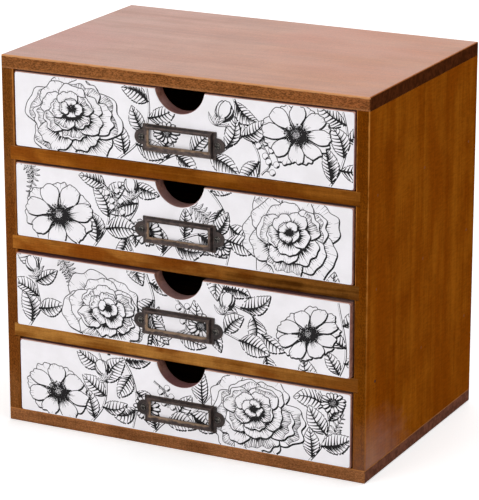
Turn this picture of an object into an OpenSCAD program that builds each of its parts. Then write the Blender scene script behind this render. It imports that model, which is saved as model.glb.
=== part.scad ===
// Desktop cabinet of four mini drawers, in millimetres.
// Origin: centre of the case's underside. +X is right, -Y is the front, +Z is up.
// Drawers are numbered from the top.

/* [Case] */
// Overall width of the case
case_w = 250; // [200:1:400]
// Overall depth of the case, from front edges to back edges
case_d = 166; // [120:1:300]
// Overall height of the case
case_h = 240; // [220:1:400]
// Thickness of the top board
top_t = 8.5; // [7:0.5:15]
// Thickness of the bottom board
bottom_t = 8.5; // [7:0.5:15]
// Thickness of each side panel
side_t = 8.5; // [8:0.5:15]
// Thickness of each shelf
shelf_t = 9; // [6:0.5:12]
// Depth of the grooves in the side panels that hold the shelf ends
dado_d = 3; // [1:0.5:4]
// Radius of the eased edges of the case boards
case_edge_r = 1.2; // [0.5:0.1:2.5]
// Radius of the eased front edges of the shelves
shelf_edge_r = 0.7; // [0.3:0.1:2]
// Radius of the edges where the top and bottom boards meet the side panels
seam_edge_r = 0.3; // [0.1:0.1:0.8]

/* [Back panel] */
// Thickness of the back panel
panel_t = 3; // [2:0.5:5]
// How far the back panel is let into the boards around it
rebate_w = 4; // [3:0.5:5]
// Gap between the back panel's edge and its rebate
panel_fit = 0.3; // [0.1:0.1:0.8]

/* [Drawers] */
// Gap between a drawer and the side panel, on each side
side_gap = 1; // [0.5:0.1:2]
// Gap between a drawer front and the board above it
top_gap = 1.2; // [0.5:0.1:3]
// Slip clearance under a drawer
slip_gap = 0.2; // [0.1:0.05:0.5]
// Gap between a drawer and the back panel when the print is level with the case edges
rear_gap = 2; // [1:0.5:8]
// Thickness of a drawer front
front_t = 9; // [8:0.5:14]
// Radius of the eased edges of a drawer front
front_edge_r = 0.8; // [0.3:0.1:1.5]
// Thickness of a drawer side
box_side_t = 6; // [5:0.5:9]
// Thickness of a drawer back
box_back_t = 6; // [5:0.5:9]
// How far the drawer sides and back stay below the top of the front
rim_drop = 3; // [0:0.5:8]
// Thickness of a drawer's bottom panel
floor_t = 3; // [2:0.5:5]
// Height of the bottom panel above the drawer's underside
floor_lift = 3; // [2:0.5:6]
// Depth of the grooves that hold the bottom panel
groove_d = 3; // [1.5:0.5:4]
// Gap between the bottom panel's edge and the end of its groove
floor_fit = 0.3; // [0.1:0.1:0.8]

/* [Pulled out at rest] */
// How far drawer 1, the top one, stands out
pull_1 = 0; // [0:0.1:60]
// How far drawer 2 stands out
pull_2 = 0.8; // [0:0.1:60]
// How far drawer 3 stands out
pull_3 = 3.2; // [0:0.1:60]
// How far drawer 4, the bottom one, stands out
pull_4 = 0.8; // [0:0.1:60]

/* [Print and finger notch] */
// Thickness of the printed facing
print_t = 0.4; // [0.2:0.1:1]
// How far the print stays inside the front's outline
print_inset = 0.4; // [0.1:0.1:2]
// Radius of the print's corners
print_corner_r = 1.5; // [0.5:0.5:4]
// Radius of the finger notch
notch_r = 17; // [12:0.5:22]
// Height of the notch's centre above the top of the drawer front
notch_rise = 2.7; // [1:0.5:8]
// How far the print's cut-out stays back from the notch
print_notch_gap = 0.2; // [0.1:0.1:1]

/* [Label holder] */
// Width of the raised frame
holder_w = 47; // [40:1:80]
// Height of the raised frame
holder_h = 17; // [14:0.5:20]
// How far the frame stands out from the print
holder_proud = 3; // [2.5:0.1:5]
// Height of the frame above the drawer's underside
holder_lift = 8; // [3:0.5:10]
// Thickness of the holder's sheet metal
sheet_t = 0.8; // [0.5:0.1:1]
// How much the frame's outer walls slope in, on each side
wall_slope = 1.2; // [0.5:0.1:1.6]
// Width of the sloped lip round the window
lip_w = 1; // [0.5:0.1:1.2]
// Width of the frame's rails beside and above the window
rail_w = 3.1; // [2.8:0.1:5]
// Width of the frame's rail below the window
low_rail_w = 4.3; // [2.8:0.1:5]
// Radius of the window's corners
window_r = 0.9; // [0.3:0.1:2]
// Width of the flat flange beyond the frame, at each end
flange_w = 1.5; // [1:0.1:3]
// Radius of the round screw ears
ear_r = 4.8; // [4:0.1:6]
// Distance of the ear's centre from the end of the raised frame
ear_out = 2.4; // [2.4:0.1:4]

/* [Screws and pins] */
// Radius of a screw's domed head
screw_head_r = 2.1; // [1.8:0.1:2.3]
// Height of a screw's domed head
screw_head_h = 1.3; // [1:0.1:1.6]
// Diameter of a screw's shank
screw_d = 1.8; // [1.4:0.1:2.2]
// Length of a screw's shank
screw_l = 8; // [6:0.5:9]
// Clearance round a screw's shank
screw_fit = 0.1; // [0.05:0.05:0.2]
// Diameter of a brad's shank
brad_d = 1.2; // [0.9:0.1:1.6]
// Diameter of a brad's head
brad_head_d = 1.9; // [1.8:0.1:2.4]
// Height of a brad's head
brad_head_h = 0.6; // [0.4:0.1:1]
// Clearance round a brad
brad_fit = 0.05; // [0.02:0.01:0.1]
// Length of the brads through the case boards
case_brad_l = 24; // [18:1:30]
// Distance of the outer case brads and dowels from the front and back edges
case_brad_inset = 13; // [10:0.5:25]
// Length of the back panel's brads
panel_brad_l = 11; // [8:1:15]
// Length of the brads in the drawer boxes
box_brad_l = 16; // [14:1:20]
// Diameter of the hidden dowels under the top board
dowel_d = 4; // [3:0.5:5]
// Length of the hidden dowels
dowel_l = 20; // [16:1:24]
// How far the dowels reach into the top board
dowel_in_top = 5; // [3:0.5:5.5]

/* [Hidden] */
$fn = 48;
// Overshoot of a cut past the face it opens
over = 1;

// Case
rows = 4;
pulls = [pull_1, pull_2, pull_3, pull_4];
inner_w = case_w - 2 * side_t;
inner_h = case_h - top_t - bottom_t;
row_h = (inner_h - (rows - 1) * shelf_t) / rows;
row_pitch = row_h + shelf_t;
front_y = -case_d / 2;
back_y = case_d / 2;
panel_y = back_y - panel_t;
shelf_w = inner_w + 2 * dado_d;
shelf_d = panel_y - front_y;
shelf_nose = 4 * shelf_edge_r;
rebate_space_w = inner_w + 2 * rebate_w;
rebate_space_h = inner_h + 2 * rebate_w;
side_mid_x = case_w / 2 - side_t / 2;
pin_ys = [front_y + case_brad_inset, 0, back_y - case_brad_inset];

// Drawer box, measured from the drawer's own underside
front_w = inner_w - 2 * side_gap;
front_h = row_h - slip_gap - top_gap;
rim_h = front_h - rim_drop;
face_y = front_y;
board_y = face_y + print_t;
box_y = board_y + front_t;
box_end_y = panel_y - rear_gap;
box_back_y = box_end_y - box_back_t;
well_w = front_w - 2 * box_side_t;
floor_w = well_w + 2 * (groove_d - floor_fit);
floor_y = box_y - groove_d + floor_fit;
floor_d = box_back_y + groove_d - floor_fit - floor_y;
floor_top = floor_lift + floor_t;
box_brad_zs = [floor_top + (rim_h - floor_top) / 5, floor_top + (rim_h - floor_top) * 4 / 5];

// Label holder, measured from the centre of its frame
holder_z = holder_lift + holder_h / 2;
window_w = holder_w - 2 * rail_w;
window_h = holder_h - rail_w - low_rail_w;
window_rise = (low_rail_w - rail_w) / 2;
rim_out_w = holder_w - 2 * wall_slope;
rim_out_h = holder_h - 2 * wall_slope;
pocket_depth = holder_proud - 2 * sheet_t;
lip_depth = sheet_t;
screw_x = holder_w / 2 + ear_out;
screw_slot_w = screw_head_r / 4;
screw_slot_l = screw_head_r * 1.3;
screw_slot_depth = screw_head_h / 2;

// Floor of row n, counted from the top
function row_floor(n) = bottom_t + (rows - n) * row_pitch;
// Middle of the shelf under row n
function shelf_mid(n) = row_floor(n) - shelf_t / 2;

module rounded_rect(size, r) {
    translate([r, 0]) square([size.x - 2 * r, size.y]);
    translate([0, r]) square([size.x, size.y - 2 * r]);
    for (x = [r, size.x - r], y = [r, size.y - r])
        translate([x, y]) circle(r);
}

// Rectangle whose two lower corners have radius r_low and whose two upper corners have r_high
module eased_rect(size, r_low, r_high) {
    translate([0, r_low]) square([size.x, size.y - r_low - r_high]);
    translate([r_low, 0]) square([size.x - 2 * r_low, size.y / 2]);
    translate([r_high, size.y / 2]) square([size.x - 2 * r_high, size.y / 2]);
    for (x = [r_low, size.x - r_low])
        translate([x, r_low]) circle(r_low);
    for (x = [r_high, size.x - r_high])
        translate([x, size.y - r_high]) circle(r_high);
}

// Board with its lower corner at the origin and all edges eased
module eased_board(size, r_plan, r_low, r_high) {
    intersection() {
        linear_extrude(size.z) rounded_rect([size.x, size.y], r_plan);
        translate([0, size.y, 0]) rotate([90, 0, 0])
            linear_extrude(size.y) eased_rect([size.x, size.z], r_low, r_high);
        rotate([90, 0, 90])
            linear_extrude(size.x) eased_rect([size.y, size.z], r_low, r_high);
    }
}

// Prism with a w1 by h1 base, whose faces slope in to w2 by h2 at height t
module frustum(w1, h1, w2, h2, t) {
    intersection() {
        rotate([90, 0, 0]) linear_extrude(max(h1, h2), center = true)
            polygon([[-w1 / 2, 0], [w1 / 2, 0], [w2 / 2, t], [-w2 / 2, t]]);
        rotate([90, 0, 90]) linear_extrude(max(w1, w2), center = true)
            polygon([[-h1 / 2, 0], [h1 / 2, 0], [h2 / 2, t], [-h2 / 2, t]]);
    }
}

// Brad driven along -Z, its head level with z = 0; grow widens it into its own hole
module brad(length, grow = 0) {
    past_face = grow > 0 ? over : 0;
    translate([0, 0, -brad_head_h]) cylinder(h = brad_head_h + past_face, d = brad_head_d + 2 * grow);
    translate([0, 0, -length]) cylinder(h = length, d = brad_d + 2 * grow);
}

// ---- Pins through the case ----

module shelf_brads(grow = 0) {
    for (side = [-1, 1], n = [1 : rows - 1], y = pin_ys)
        translate([side * case_w / 2, y, shelf_mid(n)]) rotate([0, side * 90, 0])
            brad(case_brad_l, grow);
}

module bottom_brads(grow = 0) {
    for (side = [-1, 1], y = pin_ys)
        translate([side * side_mid_x, y, 0]) rotate([180, 0, 0]) brad(case_brad_l, grow);
}

module dowels(grow = 0) {
    for (side = [-1, 1], y = pin_ys)
        translate([side * side_mid_x, y, case_h - top_t + dowel_in_top - dowel_l - grow])
            cylinder(h = dowel_l + 2 * grow, d = dowel_d + 2 * grow);
}

module panel_brads(grow = 0) {
    edge_x = inner_w / 2 + rebate_w / 2;
    edge_zs = [bottom_t - rebate_w / 2, case_h - top_t + rebate_w / 2];
    for (side = [-1, 1], n = [1 : rows])
        translate([side * edge_x, back_y, row_floor(n) + row_h / 2]) rotate([-90, 0, 0])
            brad(panel_brad_l, grow);
    for (side = [-1, 1], z = edge_zs)
        translate([side * inner_w / 4, back_y, z]) rotate([-90, 0, 0]) brad(panel_brad_l, grow);
    for (side = [-1, 1], n = [1 : rows - 1])
        translate([side * inner_w / 4, back_y, shelf_mid(n)]) rotate([-90, 0, 0])
            brad(panel_brad_l, grow);
}

// ---- Case boards ----

module rebate() {
    translate([-rebate_space_w / 2, panel_y, bottom_t - rebate_w])
        cube([rebate_space_w, panel_t + over, rebate_space_h]);
}

module top_board() {
    color("sienna") difference() {
        translate([-case_w / 2, front_y, case_h - top_t])
            eased_board([case_w, case_d, top_t], case_edge_r, seam_edge_r, case_edge_r);
        rebate();
        dowels(brad_fit);
        panel_brads(brad_fit);
    }
}

module bottom_board() {
    color("sienna") difference() {
        translate([-case_w / 2, front_y, 0])
            eased_board([case_w, case_d, bottom_t], case_edge_r, case_edge_r, seam_edge_r);
        rebate();
        bottom_brads(brad_fit);
        panel_brads(brad_fit);
    }
}

module side_panel(side) {
    color("saddlebrown") difference() {
        translate([side * side_mid_x - side_t / 2, front_y, bottom_t])
            eased_board([side_t, case_d, inner_h], case_edge_r, seam_edge_r, seam_edge_r);
        for (n = [1 : rows - 1])
            shelf_block(n);
        rebate();
        shelf_brads(brad_fit);
        bottom_brads(brad_fit);
        dowels(brad_fit);
        panel_brads(brad_fit);
    }
}

// Space that a shelf takes up, with square edges
module shelf_block(n) {
    translate([-shelf_w / 2, front_y - over, row_floor(n) - shelf_t])
        cube([shelf_w, shelf_d + over, shelf_t]);
}

module shelf(n) {
    color("peru") difference() {
        translate([-shelf_w / 2, front_y, row_floor(n) - shelf_t]) rotate([90, 0, 90])
            linear_extrude(shelf_w) {
                rounded_rect([shelf_nose, shelf_t], shelf_edge_r);
                translate([shelf_nose / 2, 0]) square([shelf_d - shelf_nose / 2, shelf_t]);
            }
        shelf_brads(brad_fit);
        panel_brads(brad_fit);
    }
}

module back_panel() {
    color("burlywood") difference() {
        translate([-rebate_space_w / 2 + panel_fit, panel_y, bottom_t - rebate_w + panel_fit])
            cube([rebate_space_w - 2 * panel_fit, panel_t, rebate_space_h - 2 * panel_fit]);
        panel_brads(brad_fit);
    }
}

module top_dowels() {
    color("wheat") dowels();
}

module case_brads() {
    color("dimgray") {
        shelf_brads();
        bottom_brads();
    }
}

module back_brads() {
    color("dimgray") panel_brads();
}

// ---- Drawers ----

// Moves a drawer's pieces from its own underside to its place in row n
module in_row(n) {
    translate([0, -pulls[n - 1], row_floor(n) + slip_gap]) children();
}

module notch_cut(gap = 0) {
    translate([0, box_y + over, front_h + notch_rise]) rotate([90, 0, 0])
        cylinder(h = front_t + print_t + 2 * over, r = notch_r + gap);
}

// Space for the bottom panel, with clearance at its edges
module floor_slot() {
    translate([-floor_w / 2 - floor_fit, floor_y - floor_fit, floor_lift])
        cube([floor_w + 2 * floor_fit, floor_d + 2 * floor_fit, floor_t]);
}

module box_brads(grow = 0) {
    for (side = [-1, 1], z = box_brad_zs) {
        translate([side * (front_w - box_side_t) / 2, board_y, z]) rotate([90, 0, 0])
            brad(box_brad_l, grow);
        translate([side * front_w / 2, box_end_y - box_back_t / 2, z]) rotate([0, side * 90, 0])
            brad(box_brad_l, grow);
    }
}

module screw_holes() {
    for (side = [-1, 1])
        translate([side * screw_x, face_y + screw_l, holder_z]) rotate([90, 0, 0])
            cylinder(h = screw_l + holder_proud, d = screw_d + 2 * screw_fit);
}

module drawer_front(n) {
    in_row(n) color("rosybrown") difference() {
        translate([-front_w / 2, board_y, 0])
            eased_board([front_w, front_t, front_h], front_edge_r, front_edge_r, front_edge_r);
        notch_cut();
        floor_slot();
        box_brads(brad_fit);
        screw_holes();
    }
}

module front_print(n) {
    in_row(n) color("ghostwhite") difference() {
        translate([-front_w / 2 + print_inset, board_y, print_inset]) rotate([90, 0, 0])
            linear_extrude(print_t)
                rounded_rect([front_w - 2 * print_inset, front_h - 2 * print_inset], print_corner_r);
        notch_cut(print_notch_gap);
        screw_holes();
    }
}

module drawer_side(n, side) {
    in_row(n) color("tan") difference() {
        translate([side * (front_w - box_side_t) / 2 - box_side_t / 2, box_y, 0])
            cube([box_side_t, box_end_y - box_y, rim_h]);
        floor_slot();
        box_brads(brad_fit);
    }
}

module drawer_back(n) {
    in_row(n) color("tan") difference() {
        translate([-well_w / 2, box_back_y, 0]) cube([well_w, box_back_t, rim_h]);
        floor_slot();
        box_brads(brad_fit);
    }
}

module drawer_bottom(n) {
    in_row(n) color("burlywood")
        translate([-floor_w / 2, floor_y, floor_lift]) cube([floor_w, floor_d, floor_t]);
}

module drawer_brads(n) {
    in_row(n) color("dimgray") box_brads();
}

// ---- Label holders ----

// Moves a piece drawn flat, with +Z towards the viewer, onto the print of drawer n
module on_print(n) {
    in_row(n) translate([0, face_y, holder_z]) rotate([90, 0, 0]) children();
}

module label_holder(n) {
    on_print(n) color("darkslategray") difference() {
        union() {
            frustum(holder_w, holder_h, rim_out_w, rim_out_h, holder_proud);
            translate([-holder_w / 2 - flange_w, -holder_h / 2, 0])
                cube([holder_w + 2 * flange_w, holder_h, sheet_t]);
            for (side = [-1, 1])
                translate([side * screw_x, 0, 0]) cylinder(h = sheet_t, r = ear_r);
        }
        // Card pocket behind the frame
        translate([0, 0, -over])
            frustum(holder_w - 2 * sheet_t, holder_h - 2 * sheet_t,
                holder_w - 4 * sheet_t, holder_h - 4 * sheet_t, pocket_depth + over);
        // Window and the lip that slopes in to it
        translate([0, window_rise, 0]) {
            translate([-window_w / 2, -window_h / 2, -over])
                linear_extrude(holder_proud + 2 * over) rounded_rect([window_w, window_h], window_r);
            translate([0, 0, holder_proud - lip_depth])
                frustum(window_w, window_h, window_w + 2 * lip_w, window_h + 2 * lip_w, lip_depth);
        }
        for (side = [-1, 1])
            translate([side * screw_x, 0, -over]) cylinder(h = 3 * over, d = screw_d + 2 * screw_fit);
    }
}

module screw() {
    dome_r = (screw_head_r * screw_head_r + screw_head_h * screw_head_h) / (2 * screw_head_h);
    difference() {
        union() {
            intersection() {
                translate([0, 0, screw_head_h - dome_r]) sphere(dome_r);
                cylinder(h = screw_head_h, r = screw_head_r);
            }
            translate([0, 0, -screw_l]) cylinder(h = screw_l + screw_head_h / 3, d = screw_d);
        }
        for (angle = [45, 135])
            rotate([0, 0, angle])
                translate([-screw_slot_l / 2, -screw_slot_w / 2, screw_head_h - screw_slot_depth])
                    cube([screw_slot_l, screw_slot_w, screw_slot_depth + over]);
    }
}

module holder_screws(n) {
    on_print(n) color("gray")
        for (side = [-1, 1])
            translate([side * screw_x, 0, sheet_t]) screw();
}

top_board();
bottom_board();
side_panel(-1);  // left_side
side_panel(1);  // right_side
back_panel();
top_dowels();
case_brads();
back_brads();
for (n = [1 : rows - 1])
    shelf(n);
for (n = [1 : rows]) {
    drawer_front(n);
    front_print(n);
    drawer_side(n, -1);
    drawer_side(n, 1);
    drawer_back(n);
    drawer_bottom(n);
    drawer_brads(n);
    label_holder(n);
    holder_screws(n);
}
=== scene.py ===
import math
import random

import bpy
import numpy as np
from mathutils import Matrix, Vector


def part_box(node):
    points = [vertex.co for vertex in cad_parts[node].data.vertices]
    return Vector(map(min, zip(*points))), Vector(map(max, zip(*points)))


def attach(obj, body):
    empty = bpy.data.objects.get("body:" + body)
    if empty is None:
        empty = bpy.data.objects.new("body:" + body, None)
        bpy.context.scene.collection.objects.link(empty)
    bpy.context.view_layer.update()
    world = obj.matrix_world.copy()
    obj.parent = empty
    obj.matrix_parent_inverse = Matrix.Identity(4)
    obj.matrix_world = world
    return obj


# Desktop mini drawers: a stained wooden case with four drawers, whose fronts carry a printed drawing
# of flowers in black ink and a bronze label holder.
# Places are in metres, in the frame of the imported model: +X right, -Y front, +Z up.

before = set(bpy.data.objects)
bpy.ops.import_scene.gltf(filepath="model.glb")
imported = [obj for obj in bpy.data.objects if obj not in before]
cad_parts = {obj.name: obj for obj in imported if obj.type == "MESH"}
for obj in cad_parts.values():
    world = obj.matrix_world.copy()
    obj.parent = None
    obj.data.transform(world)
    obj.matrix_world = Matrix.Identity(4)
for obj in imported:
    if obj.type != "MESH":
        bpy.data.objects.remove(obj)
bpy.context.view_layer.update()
MM = 0.001
ROWS = (1, 2, 3, 4)


# ---- Objects and camera ----

AZIMUTH = 26.86
ELEVATION = 16.97
DISTANCE = 1.755
CAMERA_TARGET = Vector((-1.7 * MM, 0.0, 107.9 * MM))
LENS = 198.2


def placed(name, data):
    """A new object in the scene."""
    made = bpy.data.objects.new(name, data)
    bpy.context.scene.collection.objects.link(made)
    return made


def aimed(name, data, place, way):
    """A new camera or lamp at a place, looking one way."""
    made = placed(name, data)
    made.location = place
    made.rotation_euler = way.to_track_quat("-Z", "Y").to_euler()
    return made


def make_camera():
    azimuth, elevation = math.radians(AZIMUTH), math.radians(ELEVATION)
    back = Vector((math.sin(azimuth) * math.cos(elevation), -math.cos(azimuth) * math.cos(elevation),
                   math.sin(elevation)))
    data = bpy.data.cameras.new("camera")
    data.lens = LENS
    data.clip_start = 0.05
    data.clip_end = 50
    bpy.context.scene.camera = aimed("camera", data, CAMERA_TARGET + back * DISTANCE, -back)


# ---- Material kit ----

X, Y, Z = 0, 1, 2
WHITE = (1, 1, 1, 1)


def srgb(red, green, blue):
    """Linear colour of an sRGB colour given as 0 to 255."""
    def linear(c):
        c = c / 255
        return c / 12.92 if c <= 0.04045 else ((c + 0.055) / 1.055) ** 2.4
    return (linear(red), linear(green), linear(blue), 1.0)


class Nodes:
    """The nodes of a material or world. Each input takes a number, a colour or another node's socket."""

    def __init__(self, tree):
        self.tree = tree

    def add(self, kind, inputs=None, **settings):
        node = self.tree.nodes.new("ShaderNode" + kind)
        for key, value in settings.items():
            setattr(node, key, value)
        for key, value in (inputs or {}).items():
            self.feed(node.inputs[key], value)
        return node

    def feed(self, socket, value):
        if isinstance(value, bpy.types.NodeSocket):
            self.tree.links.new(value, socket)
        else:
            socket.default_value = value

    def math(self, operation, a, b=0.0):
        return self.add("Math", {0: a, 1: b}, operation=operation).outputs[0]

    def times(self, a, b):
        return self.math("MULTIPLY", a, b)

    def seen_directly(self):
        """1 for what the camera sees, itself or in a reflection, and 0 for the rest."""
        rays = self.add("LightPath").outputs
        return self.math("MAXIMUM", rays["Is Camera Ray"], rays["Is Glossy Ray"])


class Material(Nodes):
    """A new material and its shader, with the box of the CAD node that it is made for."""

    def __init__(self, name, node=None):
        self.material = bpy.data.materials.new(name)
        self.material.use_nodes = True
        super().__init__(self.material.node_tree)
        self.shader = self.tree.nodes["Principled BSDF"]
        self.here = self.add("TexCoord").outputs["Object"]
        if node:
            self.low, self.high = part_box(node)

    def set(self, **inputs):
        for key, value in inputs.items():
            self.feed(self.shader.inputs[key.replace("_", " ")], value)

    def weighted(self, *terms):
        """Sum of sockets, each times its weight."""
        total = 0.0
        for value, weight in terms:
            total = self.math("ADD", total, self.times(value, weight))
        return total

    def noise(self, scale, detail=3.0, roughness=0.5, distortion=0.0, shift=(0, 0, 0)):
        """Noise of about 0.3 to 0.7; the scale is in cells per metre, one number or one for each axis."""
        scale = scale if isinstance(scale, (list, tuple)) else (scale,) * 3
        mapped = self.add("Mapping", {"Vector": self.here, "Scale": scale, "Location": shift}).outputs[0]
        return self.add("TexNoise", {"Vector": mapped, "Scale": 1.0, "Detail": detail, "Roughness": roughness,
                                     "Distortion": distortion}).outputs["Fac"]

    def ramp(self, value, low, high, out_low=0.0, out_high=1.0):
        """Smooth step from out_low to out_high as the value goes from low to high."""
        return self.add("MapRange", {"Value": value, "From Min": low, "From Max": high, "To Min": out_low,
                                     "To Max": out_high}, interpolation_type="SMOOTHSTEP").outputs[0]

    def swing(self, noise, least=0.0, most=1.0):
        """From least to most over the usual range of a noise."""
        return self.ramp(noise, 0.3, 0.7, least, most)

    def mix(self, share, a, b, blend="MIX"):
        return self.add("Mix", {0: share, 6: a, 7: b}, data_type="RGBA", blend_type=blend).outputs[2]

    def shade(self, colour, amount):
        """Colour multiplied by a grey amount."""
        grey = self.add("CombineColor", {"Red": amount, "Green": amount, "Blue": amount}).outputs[0]
        return self.mix(1.0, colour, grey, "MULTIPLY")

    def bump(self, height, distance):
        normal = self.add("Bump", {"Height": height, "Distance": distance}).outputs[0]
        self.feed(self.shader.inputs["Normal"], normal)

    def facing(self, axis):
        """How far the surface faces along one axis, either way, from 0 to 1."""
        normal = self.add("TexCoord").outputs["Normal"]
        return self.math("ABSOLUTE", self.add("SeparateXYZ", {"Vector": normal}).outputs[axis])

    def at(self, axis):
        """Place along one axis, in metres."""
        return self.add("SeparateXYZ", {"Vector": self.here}).outputs[axis]

    def from_middle(self, axis, rise=0.0):
        """Distance from the middle of the box, or from a place above it, along one axis."""
        middle = (self.low[axis] + self.high[axis]) / 2 + rise
        return self.math("SUBTRACT", self.at(axis), middle)

    def from_edge(self, along):
        """Distance from the nearest edge of the box that runs along one axis, on its surface."""
        gaps = []
        for i in {X, Y, Z} - {along}:
            away = self.math("ABSOLUTE", self.from_middle(i))
            gaps.append(self.math("SUBTRACT", (self.high[i] - self.low[i]) / 2, away))
        return self.math("MAXIMUM", *gaps)


def far_off(seed):
    """A place far away in the noise, so that no two boards share their grain."""
    dice = random.Random(seed)
    return tuple(dice.uniform(-90, 90) for _ in range(3))


def give(node, material):
    """The CAD node's object takes this material alone."""
    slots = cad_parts[node].data.materials
    slots.clear()
    slots.append(material)


# ---- Wood ----

TONE_SPREAD = 0.13   # step from the middle tone to full dark or full light, at a contrast of 1
CROWN_SHADE_H = 0.5        # the painted shade on the highest side starts this far below it, mm
WEAR_AND_HIGHLIGHT_UNEVEN = 1.2    # how far the border of the lighter rim, worn and painted highlight, wanders, mm
WEAR_AND_HIGHLIGHT_SOFT = 0.7      # width over which the lighter rim, worn and painted highlight, turns into stained wood, mm
WOOD_RELIEF = 0.06   # depth of fibres and pores, mm
REFLECTION_PATCH = (20 * MM, 64 * MM, 34 * MM)    # reach of the varnished corner along X, Y and Z, a patch placed for a painted reflection


class Board(Material):
    """The material of one stained board, with its grain along one axis and its broad face across another, if
    it has one. Its seed comes from its name, so every board has its own grain."""

    def __init__(self, node, grain, face):
        super().__init__("wood_" + node, node)
        self.grain = grain
        self.face = face
        self.seed = sum(ord(letter) * (i + 1) for i, letter in enumerate(node))
        self.fibres = self.grained(1500, 35, detail=2)
        self.pores = self.ramp(self.grained(1700, 150, detail=1), 0.60, 0.70)

    def grained(self, across, along, **more):
        """Noise drawn out along the grain, with its cells per metre across and along it."""
        scale = [across] * 3
        scale[self.grain] = along
        return self.noise(scale, shift=far_off(self.seed + across), **more)

    def edge_to_face(self, on_edge, on_face):
        """One value on the board's edges and another on its broad face, or 1 if it has none."""
        if self.face is None:
            return 1.0
        return self.ramp(self.facing(self.face), 0.5, 0.9, on_edge, on_face)

    def stained(self, dark, light, contrast):
        """Bands, streaks and clouds between a dark and a light colour."""
        bands = self.grained(60, 3, detail=3, distortion=0.5)
        streaks = self.grained(280, 8, detail=4, roughness=0.6)
        clouds = self.noise(34, detail=4, roughness=0.55, shift=far_off(self.seed + 3))
        tone = self.weighted((bands, 0.4), (streaks, 0.25), (clouds, 0.35))
        spread = TONE_SPREAD / contrast
        return self.mix(self.ramp(tone, 0.5 - spread, 0.5 + spread), dark, light)

    def patched(self, colour, red, patch):
        """Redder patches; patch is their cells per metre across and along the grain."""
        patches = self.grained(*patch, detail=3, distortion=0.4)
        return self.mix(self.ramp(patches, 0.45, 0.66), colour, red)

    def figured(self, colour, fleck, speck):
        """Fibres, flecks across the grain, speckle that is faint on the broad face, and pores."""
        flecks = self.grained(140, 900, detail=2)
        specks = self.ramp(self.grained(1900, 850, detail=2), 0.35, 0.65, -speck, speck)
        specks = self.times(specks, self.edge_to_face(1.0, 0.3))
        colour = self.shade(colour, self.swing(self.fibres, 0.92, 1.07))
        colour = self.shade(colour, self.swing(flecks, 1.0 - fleck, 1.0 + fleck))
        colour = self.shade(colour, self.math("ADD", specks, 1.0))
        return self.shade(colour, self.ramp(self.pores, 0, 1, 1.0, 0.84))

    def tinted(self, colour, tints):
        """Factors on red, green and blue that change along the grain, on the broad face if it has one."""
        along = self.ramp(self.at(self.grain), self.low[self.grain], self.high[self.grain])
        tint = self.mix(self.edge_to_face(0.0, 1.0), WHITE, self.mix(along, *tints))
        return self.mix(1.0, colour, tint, "MULTIPLY")

    def end_grained(self, colour, end):
        """End grain in a colour of its own where the surface lies across the grain."""
        rings = self.noise(240, detail=4, roughness=0.65, distortion=0.8, shift=far_off(self.seed + 1))
        end_colour = self.shade(end, self.ramp(rings, 0.35, 0.65, 0.72, 1.28))
        return self.mix(self.ramp(self.facing(self.grain), 0.75, 0.92), colour, end_colour)

    def shaded_crown(self, colour, crown_shade):
        """A factor on the highest side: on the drawer fronts a painted shade, as from the shelf above."""
        top = self.high.z
        return self.shade(colour, self.ramp(self.at(Z), top - CROWN_SHADE_H * MM, top, 1.0, crown_shade))

    def worn_and_highlighted(self, colour, wear_and_highlight, wear_and_highlight_w, wear_and_highlight_ends):
        """Eased edges in a lighter colour, partly wear and partly painted highlight, most where they are
        high, as the light falls from above.
        """
        rim = self.from_edge(self.grain)
        if wear_and_highlight_ends:
            rim = self.math("MINIMUM", rim, self.from_edge(Y))
        patchy = self.noise(130, detail=3, shift=far_off(self.seed + 2))
        rim = self.math("ADD", rim, self.times(patchy, WEAR_AND_HIGHLIGHT_UNEVEN * MM))
        inner = wear_and_highlight_w + 0.1
        bare = self.ramp(rim, inner * MM, (inner + WEAR_AND_HIGHLIGHT_SOFT) * MM, 1.0, 0.0)
        # Painted highlight: the lighter rim is strongest on the board's upper side and faint low down.
        raised = self.ramp(self.at(Z), self.low.z, self.high.z, 0.15, 0.8)
        return self.mix(self.times(bare, raised), colour, wear_and_highlight)

    def finished(self, colour, rough, gloss):
        """The colour on matte wood, with the relief of its fibres and pores, and any varnish."""
        self.set(Base_Color=colour, Specular_IOR_Level=0.0)
        self.set(Roughness=self.swing(self.fibres, rough + 0.06, rough - 0.06))
        if gloss:
            self.set(Coat_Weight=gloss(self), Coat_Roughness=0.28, Coat_IOR=1.62)
        self.bump(self.weighted((self.fibres, 0.5), (self.pores, -0.6)), WOOD_RELIEF * MM)


def wood(node, grain, dark, light, contrast=1.0, red=None, patch=(30, 8), face=None, edge=1.0, fleck=0.04,
         speck=0.08, tints=None, end=None, crown_shade=1.0, wear_and_highlight=None, wear_and_highlight_w=0.6, wear_and_highlight_ends=False, rough=0.5,
         gloss=None):
    """Dress a board in stain from dark to light, with redder patches (colours are sRGB, 0 to 255). edge is
    the factor beside its broad face, fleck and speck are strengths, tints the factors on red, green and blue
    at the low and the high end of its grain, end its end grain's colour, and crown_shade the factor on its
    highest side, a painted shade. Its eased edges along the grain, and along Y with wear_and_highlight_ends,
    get a lighter colour over wear_and_highlight_w mm, partly wear and partly painted highlight. gloss gives
    the share of varnish."""
    board = Board(node, grain, face)
    colour = board.stained(srgb(*dark), srgb(*light), contrast)
    if red:
        colour = board.patched(colour, srgb(*red), patch)
    colour = board.shade(colour, board.edge_to_face(edge, 1.0))
    colour = board.figured(colour, fleck, speck)
    if tints:
        colour = board.tinted(colour, tints)
    if end:
        colour = board.end_grained(colour, srgb(*end))
    if crown_shade != 1.0:
        colour = board.shaded_crown(colour, crown_shade)
    if wear_and_highlight:
        colour = board.worn_and_highlighted(colour, srgb(*wear_and_highlight), wear_and_highlight_w, wear_and_highlight_ends)
    board.finished(colour, rough, gloss)
    give(node, board.material)


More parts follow.
